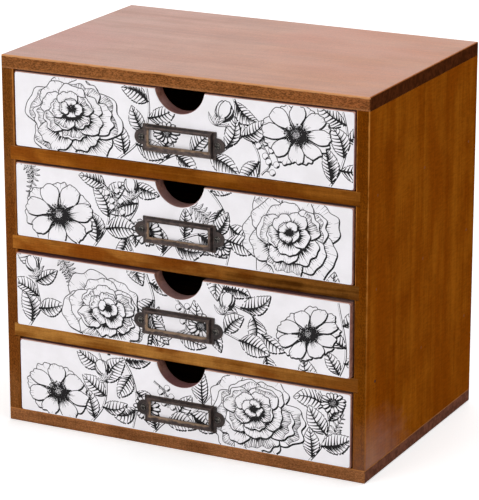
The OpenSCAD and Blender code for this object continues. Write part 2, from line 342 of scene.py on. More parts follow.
def top_gloss(board):
    """The upper face is varnished, a little unevenly."""
    uneven = board.noise((16, 40, 16), detail=3, shift=far_off(7))
    upper = board.ramp(board.facing(Z), 0.8, 0.95)
    return board.times(upper, board.swing(uneven, 0.85, 1.0))


def corner_reflection_patch(board):
    """A patch of varnish at the lower front corner of the right side, placed so that a reflection shows there
    alone: a painted reflection.
    """
    corner = (board.high.x, board.low.y, board.low.z)
    offset = board.add("VectorMath", {0: board.here, 1: corner}, operation="SUBTRACT").outputs[0]
    scaled = board.add("VectorMath", {0: offset, 1: REFLECTION_PATCH}, operation="DIVIDE").outputs[0]
    away = board.add("VectorMath", {0: scaled}, operation="LENGTH").outputs["Value"]
    uneven = board.noise((90, 90, 180), detail=3, shift=far_off(8))
    away = board.math("ADD", away, board.swing(uneven, -0.08, 0.08))
    return board.ramp(away, 0.0, 1.2, 0.44, 0.0)


SHELVES = (
    # dark and light stain, factors at the left and at the right end
    ((104, 54, 8), (142, 84, 26), (1.24, 0.82)),
    ((80, 42, 8), (146, 92, 36), (1.34, 0.56)),
    ((116, 68, 22), (164, 112, 52), (1.02, 1.04)),
)
TOP_SHEEN_TINTS = ((1.07, 1.25, 2.8, 1), (1.09, 0.98, 0.9, 1))    # pinker and greyer at the left: a painted sheen on the upper face


def dress_case():
    # wear_and_highlight is a lighter rim on the eased edges, partly wear and partly painted highlight.
    wood("top_board", X, (160, 94, 46), (182, 116, 66), contrast=0.8, red=(178, 106, 60), patch=(12, 9),
         face=Z, edge=0.5, fleck=0.03, speck=0.4, tints=TOP_SHEEN_TINTS, end=(74, 36, 16), wear_and_highlight=(212, 152, 102),
         wear_and_highlight_w=1.2, gloss=top_gloss)
    wood("bottom_board", X, (108, 66, 36), (140, 90, 54), contrast=1.8, speck=0.3, end=(114, 72, 56),
         wear_and_highlight=(186, 122, 66), wear_and_highlight_ends=True)
    wood("left_side", Z, (138, 80, 30), (168, 104, 54), contrast=1.3, red=(142, 78, 28), face=X, edge=0.54,
         fleck=0.08, speck=0.3, end=(70, 34, 18), wear_and_highlight=(196, 128, 60), wear_and_highlight_w=0.8)
    wood("right_side", Z, (126, 60, 4), (154, 86, 16), red=(134, 66, 6), face=X, edge=0.5, fleck=0.09,
         # corner_reflection_patch varnishes only the lower front corner: a painted reflection.
         speck=0.2, end=(70, 34, 18), wear_and_highlight=(206, 136, 62), wear_and_highlight_w=0.75, gloss=corner_reflection_patch)
    for n, (dark, light, factors) in enumerate(SHELVES, 1):
        wood(f"shelf_{n}", X, dark, light, contrast=1.8, red=(112, 58, 14), patch=(60, 25),
             tints=[(f, f, f, 1) for f in factors], end=(90, 48, 20), wear_and_highlight=(200, 140, 86), wear_and_highlight_w=0.3)
    wood("back_panel", Z, (158, 116, 74), (180, 138, 94), contrast=0.9, rough=0.6)
    wood("top_dowels", Z, (190, 158, 112), (210, 180, 132), rough=0.6)


def dress_drawers():
    for n in ROWS:
        # crown_shade darkens the top of each front: painted shade from the shelf above.
        wood(f"drawer_front_{n}", X, (158, 118, 114), (190, 150, 142), red=(146, 100, 100),
             end=(158, 114, 100), crown_shade=0.6, wear_and_highlight=(220, 172, 152), wear_and_highlight_w=0.7, rough=0.6)
        for side, grain in (("left", Y), ("right", Y), ("back", X)):
            wood(f"drawer_{side}_{n}", grain, (150, 112, 76), (188, 146, 104), end=(150, 108, 72), rough=0.6)
        wood(f"drawer_bottom_{n}", X, (160, 122, 82), (196, 156, 110), contrast=1.4, rough=0.6)


# ---- Metal ----

WINDOW_W = 40.8      # width of the label holder's window, mm
WINDOW_H = 9.6       # its height, mm
WINDOW_RISE = 0.6    # height of the window's centre above the holder's, mm
HOLDER_W = 47.0      # the label holder without its ears, mm
BRIGHT_RIM_W = 1.0        # width of the brass rim round the window, partly wear and partly painted highlight, mm
BRIGHT_RIM_SHARE = 0.62     # share of brass that shows on that rim
EAR_GRIME = 0.5      # share of grime on the ears
SHELF_REACH = 6.0    # a brad this near the middle of a shelf's edge goes into that shelf, mm
METAL_RELIEF = 0.05  # depth of the bronze's mottle and the filler's grit, mm
# Dark colour of grime, and on the screw heads also of painted shade in their recess.
GRIME_AND_SHADE_COLOUR = srgb(22, 19, 18)


def steel():
    """Dull drawn steel for the hidden brads."""
    look = Material("brad_steel")
    marks = look.noise((900, 900, 200), detail=2)
    look.set(Base_Color=look.mix(marks, srgb(104, 98, 92), srgb(150, 146, 140)), Metallic=1.0)
    look.set(Roughness=look.swing(marks, 0.35, 0.55))
    return look.material


def filled_brads():
    """Brad heads under stained filler, with one at the lowest shelf's right front painted dark: painted shade
    that stands in for a sunk hole.
    """
    look = Material("filled_brads", "shelf_3")
    side_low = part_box("right_side")[0]
    right = look.math("GREATER_THAN", look.at(X), side_low.x)
    front = look.math("LESS_THAN", look.at(Y), side_low.y / 2)
    near = look.math("LESS_THAN", look.math("ABSOLUTE", look.from_middle(Z)), SHELF_REACH * MM)
    # Painted shade: the brad at the lowest shelf's right front is coloured dark, as a hole.
    hole_shade = look.times(look.times(right, front), near)
    grit = look.noise(1500, detail=2)
    filler = look.mix(grit, srgb(112, 56, 6), srgb(140, 72, 12))
    look.set(Base_Color=look.mix(hole_shade, filler, srgb(44, 22, 12)), Roughness=0.6, Specular_IOR_Level=0.04)
    look.bump(grit, METAL_RELIEF * MM)
    return look.material


def bronze(node, name, dark, light, brass_and_glint, brass_and_glint_share, grime_and_shade):
    """Dress a node in antiqued bronze: mottled dark metal, with brass_and_glint where brass_and_glint_share
    says (brass wear, painted highlight and, on the screws, a painted glint), painted shade in the recesses,
    partly patina, and the dark colour where grime_and_shade says (grime on the ears; grime and painted shade
    in the screws' recess). Both are functions that give a socket from 0 to 1."""
    look = Material(name, node)
    mottle = look.noise(420, detail=4, roughness=0.6)
    fine = look.noise(2600, detail=2)
    colour = look.mix(look.ramp(mottle, 0.38, 0.64), srgb(*dark), srgb(*light))
    patina = look.ramp(mottle, 0.3, 0.6, 0.55, 1.0)
    colour = look.mix(look.times(brass_and_glint_share(look), patina), colour, srgb(*brass_and_glint))
    # Painted shade: ambient occlusion darkens the recesses to as little as 0.12 of the colour, partly patina.
    open_sky = look.add("AmbientOcclusion", {"Distance": 0.9 * MM}, samples=8).outputs["AO"]
    colour = look.shade(colour, look.ramp(open_sky, 0.35, 0.9, 0.12, 1.0))
    look.set(Base_Color=look.mix(grime_and_shade(look), colour, GRIME_AND_SHADE_COLOUR), Metallic=0.7)
    look.set(Roughness=look.swing(fine, 0.3, 0.48))
    look.bump(look.weighted((mottle, 1.0), (fine, 0.4)), METAL_RELIEF * MM)
    give(node, look.material)


def edge_wear_and_glint(look):
    """Wear and painted highlight along the edges, found with the Bevel node; on the screw heads, in their
    near-white colour, a painted glint.
    """
    rounded = look.add("Bevel", {"Radius": 0.35 * MM}, samples=6).outputs[0]
    true = look.add("NewGeometry").outputs["Normal"]
    straight = look.add("VectorMath", {0: rounded, 1: true}, operation="DOT_PRODUCT").outputs["Value"]
    return look.ramp(straight, 0.90, 0.995, 0.6, 0.0)


def rim_wear_and_highlight(holder):
    """Brass along a label holder's edges and round its window, partly wear and partly painted highlight, most
    at the window's left and lower side, where the light falls.
    """
    sides, shown = [], []
    for axis, size, rise, least in ((X, WINDOW_W, 0.0, 0.5), (Z, WINDOW_H, WINDOW_RISE, 0.1)):
        offset = holder.from_middle(axis, rise * MM)
        sides.append(holder.math("SUBTRACT", holder.math("ABSOLUTE", offset), size / 2 * MM))
        # Painted highlight: less brass on the window's right and upper side.
        shown.append(holder.ramp(offset, (size / 2 - 1.0) * MM, size / 2 * MM, 1.0, least))
    uneven = holder.noise((160, 160, 400), detail=3)
    wander = holder.swing(uneven, -0.5 * MM, 0.5 * MM)
    out = holder.math("ADD", holder.math("MAXIMUM", *sides), wander)
    near = holder.ramp(out, (BRIGHT_RIM_W - 0.5) * MM, (BRIGHT_RIM_W + 0.4) * MM, BRIGHT_RIM_SHARE, 0.0)
    rim = holder.times(near, holder.times(*shown))
    return holder.math("MAXIMUM", rim, holder.times(edge_wear_and_glint(holder), 0.4))


def ear_grime(holder):
    """Grime on a label holder's two ears."""
    away = holder.math("ABSOLUTE", holder.from_middle(X))
    return holder.ramp(away, HOLDER_W / 2 * MM, (HOLDER_W / 2 + 0.5) * MM, 0.0, EAR_GRIME)


def screw_grime_and_shade(screws):
    """Grime and painted shade in the crossed recess at the middle of both screw heads: a dark disc that
    stands in for the recess's shade.
    """
    head_r = (screws.high.z - screws.low.z) / 2
    away = screws.math("ABSOLUTE", screws.from_middle(X))
    across = screws.math("SUBTRACT", away, (screws.high.x - screws.low.x) / 2 - head_r)
    up = screws.from_middle(Z)
    squares = screws.math("ADD", screws.times(across, across), screws.times(up, up))
    return screws.ramp(screws.math("SQRT", squares), 0.34 * head_r, 0.56 * head_r, 1.0, 0.0)


def dress_metal():
    brads = steel()
    give("back_brads", brads)
    give("case_brads", filled_brads())
    for n in ROWS:
        bronze(f"label_holder_{n}", f"antique_bronze_{n}", (40, 33, 32), (67, 54, 51), (160, 132, 106),
               rim_wear_and_highlight, ear_grime)
        # Screw heads: a near-white painted glint on their edges and painted shade in their recess.
        bronze(f"holder_screws_{n}", f"bronze_screw_{n}", (40, 37, 35), (66, 62, 58), (222, 214, 202),
               edge_wear_and_glint, screw_grime_and_shade)
        give(f"drawer_brads_{n}", brads)


# ---- Paper and ink ----

FLOOR_BOUNCE_LIFT = 1.06    # painted light: factor on the paper at the foot of the lowest print, standing in for light bounced from the floor


def paper():
    """Matte white facing with a faint fibre and a few paler clouds, painted lighter towards the foot of the
    lowest drawer to stand in for light bounced up from the floor.
    """
    look = Material("printed_paper")
    foot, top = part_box("front_print_4")[0].z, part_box("front_print_3")[1].z
    cloud = look.noise(60, detail=3)
    fibre = look.noise((900, 900, 2400), detail=3)
    colour = look.mix(look.swing(cloud), srgb(228, 225, 228), srgb(235, 232, 236))
    # Painted light: the paper brightens towards the foot of the lowest print, in place of the floor's bounced
    # light.
    colour = look.shade(colour, look.ramp(look.at(Z), foot, top, FLOOR_BOUNCE_LIFT, 1.0))
    colour = look.shade(colour, look.swing(fibre, 0.985, 1.0))
    look.set(Base_Color=colour, Specular_IOR_Level=0.1)
    look.set(Roughness=look.swing(fibre, 0.5, 0.62))
    look.bump(fibre, 0.02 * MM)
    return look.material


def ink():
    """Black printing ink, a little greyer where it lies thin."""
    look = Material("black_ink")
    patch = look.noise(1600, detail=3)
    look.set(Base_Color=look.mix(look.ramp(patch, 0.35, 0.7), srgb(12, 11, 12), srgb(32, 29, 31)))
    look.set(Roughness=look.swing(patch, 0.45, 0.6), Specular_IOR_Level=0.1)
    return look.material


# ---- Drawing kit: millimetres on the fronts, u to the right, v up from the lowest print's lower edge ----

PRINT_LOW, PRINT_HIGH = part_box("front_print_1")
PRINT_W = (PRINT_HIGH.x - PRINT_LOW.x) / MM
PRINT_H = (PRINT_HIGH.z - PRINT_LOW.z) / MM
PITCH = (PRINT_LOW.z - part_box("front_print_2")[0].z) / MM
CORNER_R = 1.5    # radius of the print's corners
NOTCH_R = 17.2    # radius of the finger notch
NOTCH_UP = 49.9   # centre of the finger notch above the print's lower edge
MARGIN = 0.25     # ink stays this far inside the print's edge
FINEST = 0.07     # a thinner line isn't printed
EVEN_WIDTH = 0.5  # a line of this width prints as drawn, a finer one finer and a bolder one bolder
PRESS = 0.4       # how much finer or bolder
STEP = 0.42       # between the points of a printed line
TEETH = 11        # on each side of a leaf
RIB_GAP = 2.8     # between a leaf's ribs
FERN_PAIRS = 9
FERN_LEAFLET = 9  # a fern's leaflet before it is shortened towards the tip
BERRIES_EACH = 6  # on one stem
BERRY_R = 2.0
STAMENS = 40
DAISY_RAYS = 15
SHADOW = np.array([0.62, -0.78])    # the side that the engraved shading falls on
TURN = 2 * math.pi
GOLDEN_ANGLE = math.pi * (3 - math.sqrt(5))


def foot_of(row):
    """Height v of one row's lower edge."""
    return PITCH * (len(ROWS) - row)


def spline(points, count):
    """Smooth curve of count points through a few chosen ones."""
    p = np.asarray(points, float)
    p = np.vstack((2 * p[0] - p[1], p, 2 * p[-1] - p[-2]))
    at = np.linspace(0, len(p) - 3, count)
    i = np.minimum(at.astype(int), len(p) - 4)
    t = (at - i)[:, None]
    a, b, c, d = p[i], p[i + 1], p[i + 2], p[i + 3]
    return 0.5 * (2 * b + (c - a) * t + (2 * a - 5 * b + 4 * c - d) * t**2 + (3 * b - a - 3 * c + d) * t**3)


def pen(points, start, end):
    """Stroke along the points, with its width running from start to end."""
    return np.column_stack((points, np.linspace(start, end, len(points))))


def heading_of(way):
    return math.degrees(math.atan2(way[1], way[0]))


def polar(angle, distance=1.0):
    return np.array([math.cos(angle), math.sin(angle)]) * distance


def sideways(path):
    """Unit vectors to the left of a path, at each of its points."""
    along = np.gradient(path, axis=0)
    along /= np.maximum(np.linalg.norm(along, axis=1, keepdims=True), 1e-9)
    return np.column_stack((-along[:, 1], along[:, 0]))


def outward(loop):
    """Unit normals of a closed outline, pointing out of it."""
    ahead = np.roll(loop, -1, axis=0) - np.roll(loop, 1, axis=0)
    normal = np.column_stack((ahead[:, 1], -ahead[:, 0]))
    normal /= np.maximum(np.linalg.norm(normal, axis=1, keepdims=True), 1e-9)
    x, y = loop.T
    return normal * np.sign(np.sum(x * np.roll(y, -1) - np.roll(x, -1) * y))


class Motif:
    """An outline that hides what lies behind it, and the strokes drawn on it."""

    def __init__(self, outline, strokes=(), thin=0.28, thick=0.6, open_share=0.0, seed=0):
        self.outline = np.asarray(outline, float)
        self.strokes = list(strokes)
        self.thin = thin
        self.thick = thick
        self.open_share = open_share
        self.seed = seed

    def mapped(self, matrix, shift=(0, 0)):
        outline = self.outline @ matrix.T + shift
        strokes = [np.column_stack((s[:, :2] @ matrix.T + shift, s[:, 2])) for s in self.strokes]
        return Motif(outline, strokes, self.thin, self.thick, self.open_share, self.seed)

    def contour(self):
        """The outline's own stroke, thicker on the shadow side, with a few openings."""
        width = self.thin + (self.thick - self.thin) * np.clip(outward(self.outline) @ SHADOW, 0, 1)
        if self.open_share:
            dice = random.Random(self.seed)
            turn = np.linspace(0, TURN, len(self.outline))
            wave = sum(np.sin(k * turn + dice.uniform(0, 6.3)) for k in (5, 9, 14, 23))
            width = np.where(wave > np.quantile(wave, self.open_share), width, 0)
        loop = np.column_stack((self.outline, width))
        return np.vstack((loop, loop[:1]))


def turning(angle):
    c, s = math.cos(angle), math.sin(angle)
    return np.array([[c, -s], [s, c]])


def moved(motifs, at, degrees=0.0):
    return [m.mapped(turning(math.radians(degrees)), at) for m in motifs]


# ---- Leaves and stems ----

def leaf(length, breadth, seed, bend, sides, dark):
    """Toothed leaf from the origin along +u. sides scales its upper and lower half, and dark is how strongly
    its lower half is hatched."""
    dice = random.Random(seed)
    ribs = max(5, round(length / RIB_GAP))
    gap = 0.84 / ribs

    def spot(t, s):
        half = breadth / 2 * np.sin(math.pi * np.clip(t, 0, 1)**0.82)**0.85 * np.where(s >= 0, *sides)
        return np.column_stack((length * t, bend * length * 4 * t * (1 - t) + half * s))

    def rib(root, side, s, start, end):
        reach = 0.17 * (1 - 0.35 * root)
        strokes.append(pen(spot(root + reach * s**1.4, side * s), start, end))

    t = np.linspace(0.0, 1.0, 6 * TEETH)
    jag = 1 + 0.10 * ((t * TEETH) % 1.0 - 0.5) * np.minimum(1, 6 * t)
    outline = np.vstack((spot(t, jag), spot(t, -jag)[::-1][1:-1]))
    middle = np.linspace(-0.05, 0.97, 24)
    strokes = [pen(spot(middle, 0 * middle), 1.1, 0.4)]
    for side, heavy in ((1, 0.25 * dark), (-1, dark)):
        for i in range(ribs):
            root = 0.05 + gap * (i + 0.3 * dice.random())
            rib(root, side, np.linspace(0.0, 0.97, 12), 1.08 * (1 - 0.45 * root), 0.3)
            for share in (0.35, 0.65):
                far = (0.10 + 0.75 * heavy + 0.15 * dice.random()) * (1 - 0.25 * root)
                if dice.random() < 0.2 + 1.2 * heavy:
                    hatch = np.linspace(0.02, min(0.92, far), 8)
                    rib(root + gap * share, side, hatch, 0.4 + 0.42 * heavy, 0.05)
    return Motif(outline, strokes, thin=0.46, thick=0.85, open_share=0.06, seed=seed)


def leaflet(length, breadth, bend=0.1):
    """Small plain leaf from the origin along +u, with one half hatched."""
    def spot(t, s):
        half = breadth / 2 * s * np.sin(math.pi * t**0.8)
        return np.column_stack((length * t, bend * length * 4 * t * (1 - t) + half))

    t = np.linspace(0, 1, 14)
    strokes = [pen(spot(t, 0), 0.45, 0.2)]
    for root in np.arange(0.1, 0.8, 1.5 / length):
        strokes.append(pen(spot(np.linspace(root, root + 0.16, 3), np.linspace(0, -0.8, 3)), 0.4, 0.15))
    return Motif(np.vstack((spot(t, 1), spot(t, -1)[::-1][1:-1])), strokes, thin=0.26, thick=0.5)


def stem(points, width, seed):
    """Stem through a few points: a light edge, a dark edge and short ticks."""
    dice = random.Random(seed)
    middle = spline(points, len(points) * 16)
    across = sideways(middle) * np.linspace(width / 2, width / 3, len(middle))[:, None]
    if np.mean(across @ SHADOW) < 0:
        across = -across
    dark_edge, light_edge = middle + across, middle - across
    strokes = [pen(dark_edge, 0.62, 0.45), pen(light_edge, 0.3, 0.24)]
    for k in range(2, len(middle) - 2):
        if dice.random() < 0.55:
            tick = dark_edge[k] + (middle[k + 1] - dark_edge[k]) * dice.uniform(0.7, 1.3)
            strokes.append(pen(np.linspace(dark_edge[k], tick, 3), 0.26, 0.06))
    return Motif(np.vstack((dark_edge, light_edge[::-1])), strokes, thin=0)


def index_at(path, share):
    """Index of the point at a share of the path, with two more points after it."""
    return min(len(path) - 3, int(share * (len(path) - 1)))


def sprig(points, leaves, size, seed):
    """Stem with leaves set in turn on its two sides, and one at its end."""
    dice = random.Random(seed)
    path = spline(points, 60)
    made = []
    for k in range(leaves):
        i = index_at(path, 0.15 + 0.81 * k / (leaves - 1))
        side = 0 if k == leaves - 1 else (1, -1)[k % 2]
        length = size * dice.uniform(0.82, 1.12)
        narrow = dice.uniform(0.55, 1.0)
        sides = (1.0, narrow) if dice.random() < 0.5 else (narrow, 1.0)
        breadth = length * dice.uniform(0.58, 0.70)
        bend = dice.uniform(-0.16, 0.16)
        one = leaf(length, breadth, seed * 31 + k, bend, sides, 0.5 + dice.uniform(-0.3, 0.5))
        turn = heading_of(path[i + 2] - path[i]) + side * dice.uniform(38, 66)
        made += moved([one], path[i] + polar(math.radians(turn), 0.9), turn)
    dice.shuffle(made)
    return made + [stem(points, 1.3, seed)]


def fern(points, seed):
    """Fern frond: narrow leaflets in pairs, shorter towards the tip."""
    path = spline(points, 80)
    made = []
    for k in range(FERN_PAIRS):
        at = 0.08 + 0.9 * k / FERN_PAIRS
        i = index_at(path, at)
        length = FERN_LEAFLET * (1.0 - 0.75 * at) * (0.6 + 0.4 * min(1, 5 * at))
        for side in (1, -1):
            turn = heading_of(path[i + 2] - path[i]) + side * 58
            made += moved([leaflet(length, length * 0.3, -0.12 * side)], path[i], turn)
    return made + [stem(points, 0.8, seed)]


def berry(middle):
    """Round berry with shading in arcs along its shadow side."""
    loop = [middle + polar(angle, BERRY_R) for angle in np.linspace(0, TURN, 25)[:-1]]
    shadow = math.atan2(SHADOW[1], SHADOW[0])
    strokes = []
    for j in range(6):
        angles = shadow + np.linspace(-1, 1, 9) * (1.2 - 0.13 * j)
        arc = [middle + polar(angle, BERRY_R * (0.93 - 0.12 * j)) for angle in angles]
        strokes.append(np.column_stack((arc, (0.42 - 0.05 * j) * np.sin(np.linspace(0.2, 2.9, 9)))))
    return Motif(loop, strokes, thin=0.3)


def berries(points, seed):
    """Berries on short stalks along a stem."""
    dice = random.Random(seed)
    path = spline(points, 40)
    made, stalks = [], []
    for k in range(BERRIES_EACH):
        i = 8 + 31 * k // BERRIES_EACH
        turn = math.radians(heading_of(path[i] - path[i - 2]) + (1 if k % 2 else -1) * dice.uniform(40, 75))
        middle = path[i] + polar(turn, BERRY_R * dice.uniform(1.5, 2.3))
        made.append(berry(middle))
        stalks.append(stem([path[i], (path[i] + middle) / 2 + (0.2, -0.2), middle], 0.7, seed + k))
    return made + stalks + [stem(points, 0.9, seed)]


# ---- Blossoms ----

def petal_surface(reach, spread, root, notch, ruffle, dice):
    """Function that gives a petal's points: s runs from -1 to 1 across it, and t from its root to its rim."""
    waves = [(k, dice.uniform(0, 6.3), ruffle * dice.uniform(0.5, 1.3)) for k in (4.6, 8.2, 14.0)]
    skew = dice.uniform(-0.06, 0.06)

    def spot(s, t):
        rim = 1 - 0.22 * s**2 - 0.16 * s**6 + skew * s - notch * np.exp(-(s / 0.16)**2)
        rim = rim + sum(size * np.sin(k * s + phase) for k, phase, size in waves)
        radius = reach * (root + (rim - root) * t)
        angle = spread / 2 * s * (0.42 + 0.58 * t**0.8) * (1 - 0.12 * t**4)
        return np.column_stack((radius * np.cos(angle), radius * np.sin(angle)))

    return spot


def ray(spot, s, near, far, start, end, count):
    """Stroke up a petal, at s across it."""
    return pen(spot(s, np.linspace(near, far, count)), start, end)


def petal_creases(spot, count, shade, inner, dice):
    """Shading that rises from the part of a petal that its neighbours hide."""
    def crease(s, far, start, points=10):
        top = inner + (1 - inner) * min(far, 0.93)
        return ray(spot, s, 0.9 * inner, top, start, 0.06, points)

    strokes = []
    for k in range(count):
        s = -0.93 + 1.86 * (k + 0.5 + 0.4 * (dice.random() - 0.5)) / count
        far = 0.12 + 0.46 * shade + 0.25 * dice.random() + 0.25 * abs(s)**3 * shade
        strokes.append(crease(s, far, 0.42 + 0.7 * shade, 12))
        if dice.random() < 0.3 + 0.5 * shade:
            strokes.append(crease(s + 0.9 / count, far * dice.uniform(0.35, 0.7), 0.34 + 0.7 * shade))
    for s in (-0.97, 0.97, -0.9, 0.9):
        strokes.append(crease(s, 0.55 + 0.3 * dice.random(), 1.1 * shade + 0.35))
    return strokes


def curled_lip(spot, count, shade, lip, dice):
    """Rim that curls over: the line of its fold, and hatching below it."""
    s = np.linspace(-0.95 + 0.5 * dice.random(), 0.95 - 0.5 * dice.random(), 30)
    across = np.linspace(-1, 1, 30)
    curl = np.maximum(np.cos(across * math.pi / 2), 0)**0.7
    fold = 1 - lip * curl * (1 + 0.2 * np.sin(5 * s + dice.uniform(0, 6)))
    strokes = [np.column_stack((spot(s, fold), 0.42 - 0.2 * np.abs(across)))]
    hatches = int(count * 1.5)
    for k in range(hatches):
        at = s[0] + (s[-1] - s[0]) * (k + dice.random()) / hatches
        top = float(np.interp(at, s, fold))
        low = top - (0.08 + 0.16 * dice.random()) * (0.6 + 0.9 * shade)
        strokes.append(ray(spot, at, top, low, 0.42, 0.06, 6))
    return strokes


def rim_ticks(spot, count, shade, dice):
    """Short lines down from a flat rim."""
    strokes = []
    for k in range(count):
        if dice.random() < 0.45:
            s = -0.9 + 1.8 * (k + dice.random()) / count
            low = 0.925 - 0.14 * dice.random() - 0.1 * shade
            strokes.append(ray(spot, s, 0.985, low, 0.3, 0.05, 6))
    return strokes


def petal(reach, spread, seed, shade, root, inner=0.0, lip=0.0, notch=0.05, ruffle=0.02):
    """Petal from the origin along +u that widens over the angle spread (radians) to the distance reach.
    The petals in front hide its share called inner, and lip is the share of its length that curls over."""
    dice = random.Random(seed)
    spot = petal_surface(reach, spread, root, notch, ruffle, dice)
    up = np.linspace(0, 1, 16)
    outline = np.vstack((spot(-1, up), spot(np.linspace(-1, 1, 44), 1)[1:-1], spot(1, up[::-1])))
    count = max(4, int(reach * 0.42 * spread / 0.95))
    strokes = petal_creases(spot, count, shade, inner, dice)
    strokes += curled_lip(spot, count, shade, lip, dice) if lip else rim_ticks(spot, count, shade, dice)
    return Motif(outline, strokes, thin=0.5, thick=0.95)


def bloom(radius, rings, seed, squash, lean, degrees):
    """Layered blossom: rings has each ring's petals from the outside in; the heart leans up the cup."""
    dice = random.Random(seed)
    shadow = turning(-math.radians(degrees)) @ SHADOW
    layers = []
    for k, count in enumerate(rings):
        depth = k / len(rings)
        reach = radius * (1 - depth)**0.92
        hidden = radius * (1 - (k + 1) / len(rings))**0.92
        offset = dice.uniform(0, TURN)
        ring = []
        for j in range(count):
            heading = offset + TURN * (j + 0.22 * (dice.random() - 0.5)) / count
            shade = min(1.0, 0.42 + 0.30 * float(polar(heading) @ shadow) + 0.35 * depth)
            inner = 0.86 * (hidden + lean * radius / len(rings) * math.sin(heading)) / reach
            one = petal(reach * dice.uniform(0.92, 1.06), TURN / count * 1.42, seed * 101 + k * 13 + j,
                        shade, root=0.05, inner=max(0, inner), lip=0.13 if dice.random() < 0.4 else 0.0)
            ring.append(one.mapped(np.diag([1.0, squash]) @ turning(heading), (0, lean * radius * depth)))
        dice.shuffle(ring)
        layers = ring + layers
    return moved(layers, (0, 0), degrees)


def dot(at, size, width):
    turn = np.linspace(0, TURN, 9)[:-1]
    return Motif(at + size * np.column_stack((np.cos(turn), np.sin(turn))), thin=width, thick=width * 1.5)


def button(radius, count, size):
    """Seed dots set in a spiral."""
    spots = [polar(k * GOLDEN_ANGLE, radius * math.sqrt((k + 0.5) / count)) for k in range(count)]
    return [dot(spot, size, 0.3) for spot in spots]


def open_flower(radius, petals, seed, squash):
    """Wide-open blossom with two rings of petals, a dotted button and a ring of stamens."""
    dice = random.Random(seed)
    heart = radius * 0.17
    made = button(heart, 46, 0.42)
    for k in range(STAMENS):
        angle = TURN * (k + dice.random() * 0.6) / STAMENS
        head = polar(angle + 0.08, radius * dice.uniform(0.26, 0.36))
        knob = dot(head, 0.5, 0.34)
        knob.strokes.append(pen(np.linspace(polar(angle, heart * 0.9), head, 6), 0.2, 0.24))
        knob.strokes.append(pen(np.linspace(head - 0.25, head + 0.25, 3), 0.5, 0.5))
        made.append(knob)
    for k in range(2):
        ring = []
        for j in range(petals):
            heading = TURN * (j + 0.5 * k + 0.1 * (dice.random() - 0.5)) / petals
            shade = 0.38 + 0.25 * float(polar(heading) @ SHADOW) + 0.3 * k
            one = petal(radius * dice.uniform(0.93, 1.05) * (1.0 + 0.04 * k), TURN / petals * 1.12,
                        seed * 71 + k * 17 + j, shade, root=0.1, notch=0.03, ruffle=0.015)
            ring.append(one.mapped(turning(heading)))
        dice.shuffle(ring)
        made += ring
    return [m.mapped(np.diag([1.0, squash])) for m in made]


def daisy(radius, seed):
    """Small flower of narrow rays round a dotted button."""
    dice = random.Random(seed)
    ring = []
    for j in range(DAISY_RAYS):
        one = petal(radius * dice.uniform(0.88, 1.05), TURN / DAISY_RAYS * 1.25, seed * 19 + j, 0.35,
                    root=0.2, notch=0.04, ruffle=0.01)
        ring.append(one.mapped(turning(TURN * (j + 0.3 * dice.random()) / DAISY_RAYS)))
    dice.shuffle(ring)
    return [m.mapped(np.diag([1.0, 0.8])) for m in button(radius * 0.26, 26, 0.4) + ring]


def bud(length, seed):
    """Half-open bud along +u in its sepals."""
    sepals, petals = [], []
    for k, (degrees, size) in enumerate(((0, 1.0), (-9, 0.95), (10, 0.93), (-15, 0.84), (16, 0.82))):
        one = petal(length * size, 1.0, seed * 7 + k, 0.45 + 0.1 * k, root=0.0, notch=0.0, ruffle=0.012)
        petals += moved([one.mapped(np.diag([1.0, 0.8]))], (0, 0), degrees)
    for k, degrees in enumerate((6, 30, -26, 62, -58)):
        sepals += moved([leaflet(length * (0.42 + 0.05 * k), length * 0.15)], (-0.5, 0), degrees)
    return sepals + petals


# ---- The drawing ----

OPEN_FLOWERS = (
    # place, radius, petals, squash, turn
    ((193, 203), 22, 8, 0.85, 0),
    ((30, 133), 24, 7, 0.85, 10),
    ((203, 82), 22, 8, 0.7, 25),
    ((27, 16), 23, 7, 0.8, -10),
)
BLOOMS = (
    # place, radius, petals in each ring from the outside in, squash, lean, turn
    ((40, 195), 36, (5, 6, 6, 5, 4), 0.82, 0.24, 0),
    ((190, 140), 35, (5, 6, 5, 5, 4), 0.9, 0.12, 20),
    ((64, 73), 33, (5, 5, 6, 5, 4), 0.85, 0.2, -15),
    ((166, 22), 34, (5, 6, 5, 5, 4), 0.85, 0.2, 10),
)
DAISIES = (((106, 194), 9), ((93, 130), 11), ((131, 76), 10), ((91, 15), 10), ((143, 128), 8), ((219, 40), 9))
BUDS = (
    # place, length, turn
    ((140, 203), 17, 60),
    ((83, 150), 14, 100),
    ((146, 86), 15, 75),
    ((62, 29), 14, 110),
    ((16, 92), 14, 120),
)
BERRIES = (
    ((170, 176), (176, 184), (170, 196)),
    ((60, 158), (70, 150), (72, 138)),
    ((112, 92), (120, 84), (120, 72)),
    ((96, 34), (104, 28), (106, 18)),
)
